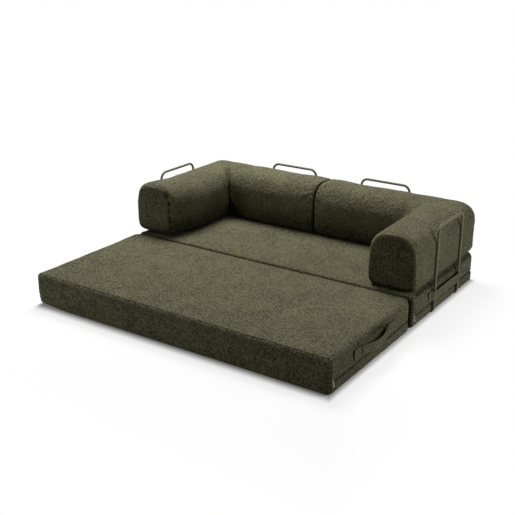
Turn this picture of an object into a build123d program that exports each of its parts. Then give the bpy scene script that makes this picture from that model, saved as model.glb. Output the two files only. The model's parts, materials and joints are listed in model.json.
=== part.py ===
"""Fold-out foam sofa bed, laid out flat as a bed with its two corner bolsters standing on the rear base.

The front mattress folds up and over the rear base about a cloth tape hinge at the top edges between them.
Four bent steel hoops, tucked through straps on the base, hold the two L-shaped bolsters in place.
Lengths are in millimetres, with X across the width, Y to the back and Z up. The origin is at the middle of
the bounding box's floor rectangle.
"""

import os
from math import atan, cos, pi, radians, sin, sqrt, tan

from build123d import *

# Overall sizes
width = 2076.0
slab_depth = 940.0
slab_height = 200.0
slab_gap = 16.0

# Slab form
corner_radius = 30.0
least_corner = 8.0
side_roll = 34.0
hinge_roll = 12.0
roll_height = 38.0
bottom_roll = 8.0
crown = 8.0
crown_margin = 64.0
crown_corner = 60.0
fabric = 4.0
foam_fit = 0.3
comfort_thickness = 46.0
panel_seam = 22.0

# Zips round the sides and back of each slab
zip_height = 68.0
zip_groove = 7.0
groove_half = 20.0
tape_half = 6.0
tape_thickness = 2.0
chain_half = 2.6
chain_proud = 1.5
slider_length = 12.0
slider_half = 4.5
slider_thickness = 2.4
slider_fit = 0.3
slider_corner_gap = 8.0
bail_height = 2.4
bail_wire = 1.0
bail_half_length = 3.5
bail_half_width = 1.6
pull_length = 32.0
pull_half_width = 4.0
pull_thickness = 0.9
pull_rail = 1.8
pull_fit = 0.6
pull_lean = 9.0

# Tape hinge between the slabs
hinge_clearance = 0.5
hinge_tape_thickness = 1.5
hinge_tape_overlap = 16.0
hinge_tape_margin = 60.0
hinge_tape_fit = 0.3
hinge_slit = 0.15

# Side handles of the front mattress
handle_span = 302.0
handle_centre = 466.0
handle_top = 157.0
handle_width = 60.0
handle_sag = 28.0
handle_thickness = 2.4
handle_slit = 0.3
patch_length = 88.0
patch_thickness = 3.4
sewing_gap = 0.3

# Steel hoops
tube_diameter = 16.0
tube_wall = 1.5
hoop_spacing = 364.0
hoop_top = 563.0
hoop_bend = 48.0
foot_bend = 34.0
foot_length = 220.0
side_hoop_centre = 465.0
back_hoop_centre = 365.0
plug_head = 2.0
plug_stem = 12.0
plug_fit = 0.2
channel_fit = 1.0

# Straps of the rear base
strap_width = 60.0
strap_bottom = 95.0
strap_thickness = 3.0
strap_end = 74.0
strap_fit = 0.3
strap_slope = 40.0
strap_toe_radius = 8.0

# Corner bolsters
bolster_width = 325.0
bolster_height = 354.0
bolster_top_radius = 96.0
bolster_top_sweep = 70.0
bolster_bottom_radius = 42.0
bolster_end_roll = 18.0
bolster_inner_radius = 60.0
bolster_outer_radius = 76.0
bolster_seat_gap = 0.3
arm_setback = 44.0
arm_overhang = 4.0
back_overhang = 12.0
bolster_parting = 8.0
hoop_clearance = 4.0

overrun = 5.0

# Angles that share out a quarter turn, as shares of it
roll_shares = (0, 0.34, 0.67, 1)
corner_shares = (0, 0.5, 1)
crown_inset_shares = (0, 0.3, 0.7)
crown_rise_shares = (0, 0.62, 1)
fan_shares = (0.33, 0.67)

# Places that follow from the sizes above
half_width = width / 2
half_gap = slab_gap / 2
tube_radius = tube_diameter / 2
mattress_front = -half_gap - slab_depth
base_front = half_gap
base_rear = base_front + slab_depth
hinge_z = slab_height + crown + hinge_clearance
side_stand_off = arm_overhang + hoop_clearance + tube_radius
back_stand_off = back_overhang + hoop_clearance + tube_radius
strap_reach = tube_radius + strap_fit + strap_thickness
rear_reach = base_rear + back_stand_off + strap_reach
centre_y = (mattress_front + rear_reach) / 2
arm_outer = half_width + arm_overhang
arm_inner = arm_outer - bolster_width
back_outer = base_rear + back_overhang
back_inner = back_outer - bolster_width
arm_front = base_front + arm_setback
back_end = bolster_parting / 2
bolster_floor = slab_height + bolster_seat_gap
handle_y = -handle_centre
handle_patch_gap = handle_span / 2 + handle_slit


def box_between(low, high):
    """A box from one corner to the opposite one."""
    sizes = [b - a for a, b in zip(low, high)]
    middle = [(a + b) / 2 for a, b in zip(low, high)]
    return Pos(*middle) * Box(*sizes)


def write(node, shape):
    """Writes one node, moved so that the floor rectangle's middle is the origin."""
    placed = Pos(0, -centre_y, 0) * shape
    placed.label = node
    export_step(placed, os.path.join("parts", node + ".step"))


# Slabs: the front mattress and the rear base


def slab_section(front, side_inset, front_inset, back_inset, z):
    """One rounded rectangle across a slab whose front edge is at y = front."""
    depth = slab_depth - front_inset - back_inset
    middle = front + front_inset + depth / 2
    radius = max(corner_radius - side_inset, least_corner)
    outline = RectangleRounded(width - 2 * side_inset, depth, radius)
    return Pos(0, middle, z) * outline


def slab_form(front, front_roll, back_roll, crown_low, crown_high, inset):
    """A slab with rolled edges, a groove for its zip and a crowned top, drawn in all round by inset."""
    sections = []
    low_roll = bottom_roll - inset
    for share in corner_shares:
        turn = share * pi / 2
        draw = inset + low_roll * (1 - sin(turn))
        sections.append(slab_section(front, draw, draw, draw, inset + low_roll * (1 - cos(turn))))
    for rise, groove in ((-groove_half, 0), (0, zip_groove), (groove_half, 0)):
        draw = inset + groove
        sections.append(slab_section(front, draw, inset, draw, zip_height + rise))
    top = slab_height - inset
    for share in roll_shares:
        turn = share * pi / 2
        draws = [inset + (roll - inset) * (1 - cos(turn)) for roll in (side_roll, front_roll, back_roll)]
        sections.append(slab_section(front, *draws, top - (roll_height - inset) * (1 - sin(turn))))
    body = loft(sections, ruled=True)
    length, depth = (high - low for low, high in zip(crown_low, crown_high))
    middle = [(low + high) / 2 for low, high in zip(crown_low, crown_high)]
    domes = []
    for inset_share, rise_share in zip(crown_inset_shares, crown_rise_shares):
        draw = inset_share * depth / 2
        outline = RectangleRounded(length - 2 * draw, depth - 2 * draw, crown_corner)
        domes.append(Pos(*middle, top + rise_share * crown) * outline)
    return body + loft(domes, ruled=True)


def mattress_form(inset):
    """The front mattress's outer form, or the form a given distance inside it."""
    low = (-half_width + crown_margin, mattress_front + crown_margin)
    high = (half_width - crown_margin, -half_gap - crown_margin / 2)
    return slab_form(mattress_front, side_roll, hinge_roll, low, high, inset)


def base_form(inset):
    """The rear base's outer form, or the form a given distance inside it, with channels for the hoops' feet."""
    low = (-arm_inner, base_front + crown_margin / 2)
    high = (arm_inner, back_inner)
    form = slab_form(base_front, hinge_roll, side_roll, low, high, inset)
    for wall, stand_off in walls.values():
        for side in (-1, 1):
            form -= wall * foot_channel(side * hoop_spacing / 2, stand_off, inset)
    return form


def foot_channel(u, stand_off, margin):
    """The channel under the base for one foot, in a wall's own frame."""
    half = tube_radius + channel_fit + margin
    run = box_between(
        (u - half, -foot_length - plug_head - channel_fit - margin, -overrun),
        (u + half, overrun, tube_diameter + channel_fit + margin),
    )
    inner_bend = foot_bend - tube_radius
    bend_height = tube_radius + foot_bend
    drop = sqrt(max(inner_bend**2 - (foot_bend - stand_off) ** 2, 0))
    mouth = box_between(
        (u - half, stand_off - foot_bend - channel_fit - margin, -overrun),
        (u + half, overrun, bend_height - drop + channel_fit + margin),
    )
    return run + mouth


def slab_region(front, z_low, z_high, y_low):
    """The part of a slab's space between two heights and behind y_low."""
    low = (-half_width - overrun, y_low, z_low)
    high = (half_width + overrun, front + slab_depth + overrun, z_high)
    return box_between(low, high)


def zip_band(front, outer, inner, half):
    """A band round a slab's sides and back, between two insets, for a zip's tape or chain."""
    base = zip_height - half
    seam = front + panel_seam
    band = extrude(slab_section(front, outer, 0, outer, base), amount=2 * half)
    band -= extrude(slab_section(front, inner, 0, inner, base), amount=2 * half)
    return band & slab_region(front, 0, slab_height, seam)


def slab_pieces(name, front, form):
    """Covers, foams and zip of one slab."""
    shell = form(0) - form(fabric)
    core = form(fabric + foam_fit)
    seam = front + panel_seam
    high = slab_height + crown + overrun
    comfort_base = slab_height - fabric - foam_fit - comfort_thickness
    front_side = box_between(
        (-half_width - overrun, front - overrun, -overrun), (half_width + overrun, seam, high)
    )
    write(name + "_top_cover", shell & slab_region(front, zip_height + tape_half, high, seam))
    write(name + "_bottom_cover", shell & slab_region(front, -overrun, zip_height - tape_half, seam))
    write(name + "_front_panel", shell & front_side)
    write(name + "_comfort_foam", core & slab_region(front, comfort_base, high, front))
    write(name + "_support_foam", core & slab_region(front, 0, comfort_base, front))
    write(name + "_zip_tape", zip_band(front, zip_groove, zip_groove + tape_thickness, tape_half))
    write(name + "_zip_chain", zip_band(front, zip_groove - chain_proud, zip_groove, chain_half))


# Zip sliders and their pulls, on each slab's right side


def slider_place(front):
    """The frame of a slider at its closed end: x out of the side, y along the zip, origin on the chain's face."""
    y = front + corner_radius + slider_corner_gap + slider_length / 2
    return Pos(half_width - zip_groove + chain_proud, y, zip_height)


def zip_slider(front):
    """The slider's body with its bail, a low arch that the pull hangs from."""
    top = slider_fit + slider_thickness
    body = box_between((slider_fit, -slider_length / 2, -slider_half), (top, slider_length / 2, slider_half))
    arch = box_between(
        (top, -bail_half_width, -bail_half_length), (top + bail_height, bail_half_width, bail_half_length)
    )
    arch -= box_between(
        (top, -bail_half_width - overrun, -bail_half_length + bail_wire),
        (top + bail_height - bail_wire, bail_half_width + overrun, bail_half_length - bail_wire),
    )
    return slider_place(front) * (body + arch)


def zip_pull(front):
    """The pull: a plate with an eye round the bail, leaning out over the cover below the zip."""
    half = pull_thickness / 2
    eye_end = sqrt(bail_half_length**2 + bail_height**2) + pull_fit
    plate = box_between((-half, -pull_half_width, -pull_length), (half, pull_half_width, half))
    plate -= box_between(
        (-pull_thickness, -pull_half_width + pull_rail, -eye_end), (pull_thickness, pull_half_width - pull_rail, -half)
    )
    axis_x = slider_fit + slider_thickness + (bail_height - bail_wire) / 2
    return slider_place(front) * Pos(axis_x, 0, 0) * Rot(0, -pull_lean, 0) * plate


# Tape hinge


def hinge_tape(side):
    """Half of the sewn tape hinge, on the mattress for side -1 and on the base for side 1."""
    near = side * hinge_slit
    far = side * (half_gap + hinge_tape_overlap)
    half = half_width - hinge_tape_margin
    base = slab_height + hinge_tape_fit
    return box_between((-half, min(near, far), base), (half, max(near, far), base + hinge_tape_thickness))


# Side handles of the front mattress


def handle_wall(side):
    """A frame on the mattress's side wall, with x along it and y out of it."""
    return Plane(origin=(side * half_width, handle_y, 0), x_dir=(0, -side, 0), z_dir=(0, 0, 1))


def handle_loop(side):
    """The slack strap between the two sewn ends, sagging in the middle."""
    half = handle_span / 2
    low = handle_top - handle_width
    outline = make_face(
        [
            ThreePointArc((-half, handle_top), (0, handle_top - handle_sag), (half, handle_top)),
            Line((half, handle_top), (half, low)),
            ThreePointArc((half, low), (0, low - handle_sag), (-half, low)),
            Line((-half, low), (-half, handle_top)),
        ]
    )
    upright = Plane(origin=(0, sewing_gap, 0), x_dir=(1, 0, 0), z_dir=(0, -1, 0))
    return handle_wall(side) * extrude(upright * outline, amount=-handle_thickness)


def handle_patches():
    """The four sewn ends of the two handles."""
    patches = []
    for side in (-1, 1):
        for end in (-1, 1):
            near = end * handle_patch_gap
            far = end * (handle_patch_gap + patch_length)
            patch = box_between(
                (min(near, far), 0, handle_top - handle_width), (max(near, far), patch_thickness, handle_top)
            )
            patches.append(handle_wall(side) * patch)
    return Compound(patches)


# Steel hoops and the straps that hold them


def wall_frames():
    """Each hoop's wall of the base: a frame with x along the wall and y out of it, and the hoop's stand-off."""
    side_y = base_front + side_hoop_centre
    frames = {}
    for name, side in (("right", 1), ("left", -1)):
        frames[name] = (
            Plane(origin=(side * half_width, side_y, 0), x_dir=(0, -side, 0), z_dir=(0, 0, 1)),
            side_stand_off,
        )
        frames["back_" + name] = (
            Plane(origin=(side * back_hoop_centre, base_rear, 0), x_dir=(1, 0, 0), z_dir=(0, 0, 1)),
            back_stand_off,
        )
    return frames


def rounded_path(points, radii):
    """Straight runs joined by tangent arcs, one radius for each corner."""
    edges = []
    start = points[0]
    for before, corner, after, radius in zip(points, points[1:], points[2:], radii):
        back = (before - corner).normalized()
        on = (after - corner).normalized()
        half_angle = radians(back.get_angle(on)) / 2
        reach = radius / tan(half_angle)
        middle = corner + (back + on).normalized() * (radius / sin(half_angle) - radius)
        edges.append(Line(start, corner + back * reach))
        edges.append(ThreePointArc(corner + back * reach, middle, corner + on * reach))
        start = corner + on * reach
    edges.append(Line(start, points[-1]))
    return Wire(edges)


def hoop_path(stand_off):
    """The hoop's centre line in its wall's frame: foot, leg, top bar, leg and foot."""
    half = hoop_spacing / 2
    bar = hoop_top - tube_radius
    points = [
        Vector(-half, -foot_length, tube_radius),
        Vector(-half, stand_off, tube_radius),
        Vector(-half, stand_off, bar),
        Vector(half, stand_off, bar),
        Vector(half, stand_off, tube_radius),
        Vector(half, -foot_length, tube_radius),
    ]
    return rounded_path(points, (foot_bend, hoop_bend, hoop_bend, foot_bend))


def hoop(wall, stand_off):
    """One bent tube, open at both ends."""
    path = hoop_path(stand_off)
    end = Plane(origin=path @ 0, z_dir=path % 0)
    outer = sweep(end * Circle(tube_radius), path=path)
    inner = sweep(end * Circle(tube_radius - tube_wall), path=path)
    return wall * (outer - inner)


def hoop_end_plugs():
    """Plastic plugs in the eight tube ends."""
    plugs = []
    for wall, _ in walls.values():
        for side in (-1, 1):
            place = wall * Plane(
                origin=(side * hoop_spacing / 2, -foot_length, tube_radius), x_dir=(1, 0, 0), z_dir=(0, 1, 0)
            )
            head = Pos(0, 0, -plug_head / 2) * Cylinder(tube_radius - plug_fit, plug_head)
            stem = Pos(0, 0, plug_stem / 2) * Cylinder(tube_radius - tube_wall - plug_fit, plug_stem)
            plugs.append(place * (head + stem))
    return Compound(plugs)


def strap(wall, stand_off):
    """A strap sewn down at both ends and passing over both legs of a hoop."""
    half = strap_thickness / 2
    near = strap_fit + half
    far = stand_off + tube_radius + strap_fit + half
    wrap = tube_radius + strap_fit + half
    slope = radians(strap_slope)
    shoulder = hoop_spacing / 2 + wrap * tan(slope / 2)
    toe = shoulder + (far - near) / tan(slope)
    tip = toe + strap_end
    points = [
        Vector(u, v, strap_bottom)
        for u, v in ((-tip, near), (-toe, near), (-shoulder, far), (shoulder, far), (toe, near), (tip, near))
    ]
    path = rounded_path(points, (strap_toe_radius, wrap, wrap, strap_toe_radius))
    end = Plane(origin=path @ 0, x_dir=(0, 1, 0), z_dir=path % 0)
    section = end * (Pos(0, strap_width / 2) * Rectangle(strap_thickness, strap_width))
    return wall * sweep(section, path=path)


# Corner bolsters, made for the right side and mirrored for the left


def bolster_section(place, reach, inset):
    """The bolster's section: flat below, straight sides and one broad curve over the top."""
    low = inset
    side = reach - inset
    bottom = bolster_bottom_radius - inset
    top = bolster_top_radius - inset
    sweep_angle = bolster_top_sweep
    turn = radians(sweep_angle)
    crest = (reach / 2 - low - top) / cos(turn) + top
    shoulder = bolster_height - inset - crest + (crest - top) * sin(turn)
    crest_centre = (reach / 2, bolster_height - inset - crest)
    edges = [
        Line((low + bottom, low), (side - bottom, low)),
        CenterArc((side - bottom, low + bottom), bottom, -90, 90),
        Line((side, low + bottom), (side, shoulder)),
        CenterArc((side - top, shoulder), top, 0, sweep_angle),
        CenterArc(crest_centre, crest, sweep_angle, 180 - 2 * sweep_angle),
        CenterArc((low + top, shoulder), top, 180 - sweep_angle, sweep_angle),
        Line((low, shoulder), (low, low + bottom)),
        CenterArc((low + bottom, low + bottom), bottom, 180, 90),
    ]
    return place * make_face(edges)


def corner_reach(angle):
    """Distance from the corner's pivot to the bolster's outer faces, round its rounded outer corner."""
    size = bolster_inner_radius + bolster_width
    centre = size - bolster_outer_radius
    if angle <= atan(centre / size):
        return size / cos(angle)
    if angle >= pi / 2 - atan(centre / size):
        return size / sin(angle)
    along = centre * (cos(angle) + sin(angle))
    return along + sqrt(along**2 - 2 * centre**2 + bolster_outer_radius**2)


def bolster_form(inset):
    """The right bolster's form, drawn in all round by inset: arm, mitred corner and half of the back."""
    pivot_x = arm_inner - bolster_inner_radius
    pivot_y = back_inner - bolster_inner_radius
    end_roll = bolster_end_roll - inset
    sections = []
    for share in corner_shares:
        turn = share * pi / 2
        y = arm_front + inset + end_roll * (1 - cos(turn))
        place = Plane(origin=(arm_inner, y, bolster_floor), x_dir=(1, 0, 0), z_dir=(0, -1, 0))
        sections.append(bolster_section(place, bolster_width, inset + end_roll * (1 - sin(turn))))
    size = bolster_inner_radius + bolster_width
    start = atan((size - bolster_outer_radius) / size)
    fan = [0, start] + [start + share * (pi / 2 - 2 * start) for share in fan_shares] + [pi / 2 - start, pi / 2]
    for angle in fan:
        out = Vector(cos(angle), sin(angle), 0)
        origin = Vector(pivot_x, pivot_y, bolster_floor) + out * bolster_inner_radius
        place = Plane(origin=origin, x_dir=out, z_dir=(sin(angle), -cos(angle), 0))
        sections.append(bolster_section(place, corner_reach(angle) - bolster_inner_radius, inset))
    for share in reversed(corner_shares):
        turn = share * pi / 2
        x = back_end + inset + end_roll * (1 - cos(turn))
        place = Plane(origin=(x, back_inner, bolster_floor), x_dir=(0, 1, 0), z_dir=(1, 0, 0))
        sections.append(bolster_section(place, bolster_width, inset + end_roll * (1 - sin(turn))))
    return loft(sections, ruled=True)


def bolster_pieces():
    """Cover, end panels, underside and foam of both bolsters."""
    shell = bolster_form(0) - bolster_form(fabric)
    far = (arm_outer + overrun, back_outer + overrun, bolster_floor + bolster_height + overrun)
    near = (back_end - overrun, arm_front - overrun, bolster_floor - overrun)
    whole = box_between(near, far)
    arm_end = box_between(near, (far[0], arm_front + bolster_end_roll, far[2]))
    back_end_region = box_between(near, (back_end + bolster_end_roll, far[1], far[2]))
    floor = box_between(near, (far[0], far[1], bolster_floor + fabric)) - arm_end - back_end_region
    pieces = {
        "arm_panel": shell & arm_end,
        "back_panel": shell & back_end_region,
        "underside": shell & floor,
        "cover": shell & (whole - arm_end - back_end_region - floor),
        "foam": bolster_form(fabric + foam_fit),
    }
    for piece, shape in pieces.items():
        write("bolster_right_" + piece, shape)
        write("bolster_left_" + piece, mirror(shape, about=Plane.YZ))


def main():
    """Writes every node."""
    os.makedirs("parts", exist_ok=True)
    slab_pieces("mattress", mattress_front, mattress_form)
    slab_pieces("base", base_front, base_form)
    for name, front in (("mattress", mattress_front), ("base", base_front)):
        write(name + "_zip_slider", zip_slider(front))
        write(name + "_zip_pull", zip_pull(front))
    write("mattress_hinge_tape", hinge_tape(-1))
    write("base_hinge_tape", hinge_tape(1))
    write("handle_loop_right", handle_loop(1))
    write("handle_loop_left", handle_loop(-1))
    write("handle_patches", handle_patches())
    for name, (wall, stand_off) in walls.items():
        write("hoop_" + name, hoop(wall, stand_off))
        write("strap_" + name, strap(wall, stand_off))
    write("hoop_end_plugs", hoop_end_plugs())
    bolster_pieces()


walls = wall_frames()
main()
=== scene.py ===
"""Looks of the fold-out foam sofa bed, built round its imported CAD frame.

The covers are padded forms in looped olive cloth, the hoops and zips keep their CAD shapes with better
materials, and the straps, handles and hinge are sewn cloth. Lengths are in metres in the frame's own axes.
"""

import json
import logging
import math
from dataclasses import dataclass, field
from enum import Enum
from functools import reduce
from typing import Callable, Optional, Sequence

import bmesh
import bpy
import numpy as np
from mathutils import Matrix, Vector, noise

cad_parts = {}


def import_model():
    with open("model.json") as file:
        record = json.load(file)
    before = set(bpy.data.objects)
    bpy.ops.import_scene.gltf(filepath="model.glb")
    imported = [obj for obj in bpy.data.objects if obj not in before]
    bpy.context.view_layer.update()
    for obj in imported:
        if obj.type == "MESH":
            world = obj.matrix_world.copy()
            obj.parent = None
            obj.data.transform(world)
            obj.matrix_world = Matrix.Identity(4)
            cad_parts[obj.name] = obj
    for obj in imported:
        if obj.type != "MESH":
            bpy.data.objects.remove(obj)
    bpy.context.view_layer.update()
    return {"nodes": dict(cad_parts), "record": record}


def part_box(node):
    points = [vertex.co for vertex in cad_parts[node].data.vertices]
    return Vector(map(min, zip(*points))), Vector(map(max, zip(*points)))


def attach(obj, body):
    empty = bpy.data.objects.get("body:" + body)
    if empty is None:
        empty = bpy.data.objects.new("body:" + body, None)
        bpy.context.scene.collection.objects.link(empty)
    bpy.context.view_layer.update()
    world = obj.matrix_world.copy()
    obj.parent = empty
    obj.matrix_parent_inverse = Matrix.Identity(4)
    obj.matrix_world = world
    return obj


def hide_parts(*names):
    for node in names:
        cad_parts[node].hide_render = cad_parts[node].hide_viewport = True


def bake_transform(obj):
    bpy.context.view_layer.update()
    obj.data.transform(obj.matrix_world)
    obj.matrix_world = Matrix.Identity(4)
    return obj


LOG = logging.getLogger("sofa_bed")

# Mesh attribute of painted shade that darkens the cloth, and a painted highlight where it is below 0.
PAINTED_SHADE = "painted_shade"
SLAB_TOP = 0.200
FOLD_HEIGHT = 0.2085
FLOOR_GAP = 0.0005
TUBE_RADIUS = 0.008
TOUCH = 1e-6
TINY = 1e-9
CLEARANCE = 0.0002
CLOSEST_MARKS = 0.0006
UNEVEN_PILE = 0.0006

Points = np.ndarray
Colour = tuple[float, float, float]
Socket = bpy.types.NodeSocket
CrossLine = tuple[float, float, float, float]


class Side(Enum):
    """The two sides of the sofa bed, as seen from its foot."""

    LEFT = -1
    RIGHT = 1


# Helpers for materials


def fill(node: bpy.types.Node, inputs: dict[str, object]) -> None:
    """Sets a node's input sockets by name."""
    for name, value in inputs.items():
        node.inputs[name].default_value = value


def dress(piece: bpy.types.Object, material: bpy.types.Material) -> None:
    """Gives a piece one material in place of what it has."""
    piece.data.materials.clear()
    piece.data.materials.append(material)


class Recipe:
    """A material's node tree while it is put together."""

    def __init__(self, name: str) -> None:
        """Starts a material with a principled shader.

        Args:
            name: the material's name.
        """
        self.material = bpy.data.materials.new(name)
        self.material.use_nodes = True
        self.tree = self.material.node_tree
        self.shader = self.tree.nodes["Principled BSDF"]
        self.place = self.add("ShaderNodeTexCoord").outputs["Object"]

    def add(self, kind: str, inputs: Optional[dict[str, object]] = None, **values: object) -> bpy.types.Node:
        """Adds a node and sets its values.

        Args:
            kind: the node's type.
            inputs: values of its input sockets by name.
            values: plain properties of the node by name.

        Returns:
            The new node.
        """
        node = self.tree.nodes.new(kind)
        for key, value in values.items():
            setattr(node, key, value)
        fill(node, inputs or {})
        return node

    def link(self, source: Socket, target: Socket) -> None:
        """Joins two sockets."""
        self.tree.links.new(source, target)

    def noise(
        self, scale: float, detail: float = 2.0, roughness: float = 0.5, stretch: Sequence[float] = ()
    ) -> Socket:
        """A noise pattern fixed to the piece.

        Args:
            scale: features for each metre.
            detail: number of finer layers.
            roughness: strength of the finer layers.
            stretch: scale along each axis, for a pattern with a direction.

        Returns:
            The pattern's value socket.
        """
        place = self.place
        if stretch:
            mapping = self.add("ShaderNodeMapping", {"Scale": stretch})
            self.link(place, mapping.inputs["Vector"])
            place = mapping.outputs["Vector"]
        texture = self.add("ShaderNodeTexNoise", {"Scale": scale, "Detail": detail, "Roughness": roughness})
        self.link(place, texture.inputs["Vector"])
        return texture.outputs["Fac"]

    def cells(self, scale: float) -> Socket:
        """A cell pattern's distance, small at the middle of each cell.

        Args:
            scale: cells for each metre.

        Returns:
            The distance socket.
        """
        texture = self.add("ShaderNodeTexVoronoi", {"Scale": scale})
        self.link(self.place, texture.inputs["Vector"])
        return texture.outputs["Distance"]

    def ramp(self, source: Socket, stops: Sequence[tuple[float, float]]) -> Socket:
        """Maps a value through a straight-line ramp.

        Args:
            source: the value that is mapped.
            stops: pairs of input and output values, two of them.

        Returns:
            The mapped value's socket.
        """
        (low, out_low), (high, out_high) = stops
        ends = {"From Min": low, "From Max": high, "To Min": out_low, "To Max": out_high}
        mapped = self.add("ShaderNodeMapRange", ends)
        self.link(source, mapped.inputs["Value"])
        return mapped.outputs["Result"]

    def math(self, operation: str, first: Socket, second: Socket | float) -> Socket:
        """Joins two values with one operation.

        Args:
            operation: the math node's operation.
            first: the first value.
            second: the second value, a socket or a number.

        Returns:
            The result's socket.
        """
        node = self.add("ShaderNodeMath", operation=operation)
        self.link(first, node.inputs[0])
        if isinstance(second, float):
            node.inputs[1].default_value = second
        else:
            self.link(second, node.inputs[1])
        return node.outputs["Value"]

    def weigh(self, *terms: tuple[Socket, float]) -> Socket:
        """Adds up values by their weights.

        Args:
            terms: pairs of a value and its weight.

        Returns:
            The sum's socket.
        """
        parts = [self.math("MULTIPLY", value, weight) for value, weight in terms]
        total = parts[0]
        for part in parts[1:]:
            total = self.math("ADD", total, part)
        return total

    def shade(self, factor: Socket, low: Colour, high: Colour) -> None:
        """Colours the shader between two colours.

        Args:
            factor: 0 for the first colour, 1 for the second.
            low: the first colour.
            high: the second colour.
        """
        mix = self.add("ShaderNodeMix", {"A": (*low, 1.0), "B": (*high, 1.0)}, data_type="RGBA")
        self.link(factor, mix.inputs["Factor"])
        self.link(mix.outputs["Result"], self.shader.inputs["Base Color"])

    def bump(self, height: Socket, strength: float, distance: float) -> None:
        """Gives the shader a fine relief.

        Args:
            height: the relief's height.
            strength: how strongly it shows.
            distance: the height of a value of 1, in metres.
        """
        node = self.add("ShaderNodeBump", {"Strength": strength, "Distance": distance})
        self.link(height, node.inputs["Height"])
        self.link(node.outputs["Normal"], self.shader.inputs["Normal"])


@dataclass(frozen=True)
class LoopedCloth:
    """Olive looped pile: tufts with dark pits between them, and broad brushed patches."""

    name: str = "looped_cloth"
    pit: Colour = (0.012, 0.011, 0.005)
    tip: Colour = (0.232, 0.222, 0.122)
    tuft_scale: float = 128.0
    loops_per_tuft: float = 1.6
    waves_per_tuft: float = 0.34
    patch_scale: float = 8.0
    pits: float = 0.35
    tips: float = 0.61
    relief: float = 0.0042
    waviness: float = 2.2
    sheen: float = 0.16

    def make(self) -> bpy.types.Material:
        """Builds the material.

        Returns:
            The cloth.
        """
        recipe = Recipe(self.name)
        tufts = recipe.ramp(recipe.noise(self.tuft_scale), ((self.pits, 0.0), (self.tips, 1.0)))
        loops = recipe.ramp(recipe.cells(self.tuft_scale * self.loops_per_tuft), ((0.15, 1.0), (0.70, 0.0)))
        patches = recipe.ramp(recipe.noise(self.patch_scale, 3.0, 0.55), ((0.3, 0.0), (0.7, 1.0)))
        tone = recipe.weigh((tufts, 0.64), (loops, 0.20), (patches, 0.18))
        # Painted shade from the mesh attribute is taken off the tone, and values below 0 add a painted
        # highlight.
        painted_shade = recipe.add("ShaderNodeAttribute", attribute_name=PAINTED_SHADE).outputs["Fac"]
        recipe.shade(recipe.math("SUBTRACT", tone, painted_shade), self.pit, self.tip)
        waves = recipe.noise(self.tuft_scale * self.waves_per_tuft)
        recipe.bump(recipe.weigh((tufts, 0.7), (loops, 0.4), (waves, self.waviness)), 1.0, self.relief)
        soft = {"Roughness": 0.92, "Specular IOR Level": 0.15, "Sheen Weight": self.sheen}
        fill(recipe.shader, soft | {"Sheen Roughness": 0.45, "Sheen Tint": (0.75, 0.75, 0.62, 1.0)})
        return recipe.material


@dataclass(frozen=True)
class WovenCloth:
    """Flat woven cloth, such as straps, tapes and the underside's backing."""

    name: str
    low: Colour
    high: Colour
    threads: float = 620.0
    blotches: float = 38.0
    roughness: float = 0.85

    def make(self) -> bpy.types.Material:
        """Builds the material.

        Returns:
            The cloth.
        """
        recipe = Recipe(self.name)
        grain = recipe.noise(self.threads)
        worn = recipe.ramp(recipe.noise(self.blotches, 3.0, 0.6), ((0.3, 0.0), (0.7, 1.0)))
        bands = {"Scale": self.threads / 2, "Distortion": 1.5}
        ribs = recipe.add("ShaderNodeTexWave", bands, wave_type="BANDS", bands_direction="Z")
        recipe.link(recipe.place, ribs.inputs["Vector"])
        recipe.shade(recipe.weigh((grain, 0.5), (worn, 0.5)), self.low, self.high)
        recipe.bump(recipe.weigh((ribs.outputs["Fac"], 0.4), (grain, 1.0)), 0.6, 0.0008)
        fill(recipe.shader, {"Roughness": self.roughness, "Specular IOR Level": 0.2, "Sheen Weight": 0.15})
        return recipe.material


@dataclass(frozen=True)
class CoatedSteel:
    """Satin powder coat on the hoops, with a fine orange-peel surface."""

    name: str = "powder_coat"
    low: Colour = (0.150, 0.145, 0.088)
    high: Colour = (0.185, 0.179, 0.112)
    smoothest: float = 0.50
    roughest: float = 0.62

    def make(self) -> bpy.types.Material:
        """Builds the material.

        Returns:
            The coated metal.
        """
        recipe = Recipe(self.name)
        recipe.shade(recipe.noise(24.0, 3.0), self.low, self.high)
        recipe.bump(recipe.noise(1400.0, 1.0), 0.12, 0.0004)
        uneven = recipe.ramp(recipe.noise(60.0), ((0.3, self.smoothest), (0.7, self.roughest)))
        recipe.link(uneven, recipe.shader.inputs["Roughness"])
        fill(recipe.shader, {"Specular IOR Level": 0.2})
        return recipe.material


@dataclass(frozen=True)
class Grained:
    """A surface whose grain gives both its tone and its relief: plated metal, moulded plastic or foam."""

    name: str
    low: Colour
    high: Colour
    grain: float
    strength: float
    distance: float
    roughness: float
    specular: float = 0.5
    metallic: float = 0.0
    stretch: tuple[float, ...] = ()
    porous: bool = False

    def make(self) -> bpy.types.Material:
        """Builds the material.

        Returns:
            The material.
        """
        recipe = Recipe(self.name)
        grain = recipe.cells(self.grain) if self.porous else recipe.noise(self.grain, stretch=self.stretch)
        recipe.shade(grain, self.low, self.high)
        recipe.bump(grain, self.strength, self.distance)
        fill(recipe.shader, {"Roughness": self.roughness, "Specular IOR Level": self.specular})
        fill(recipe.shader, {"Metallic": self.metallic})
        return recipe.material


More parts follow.
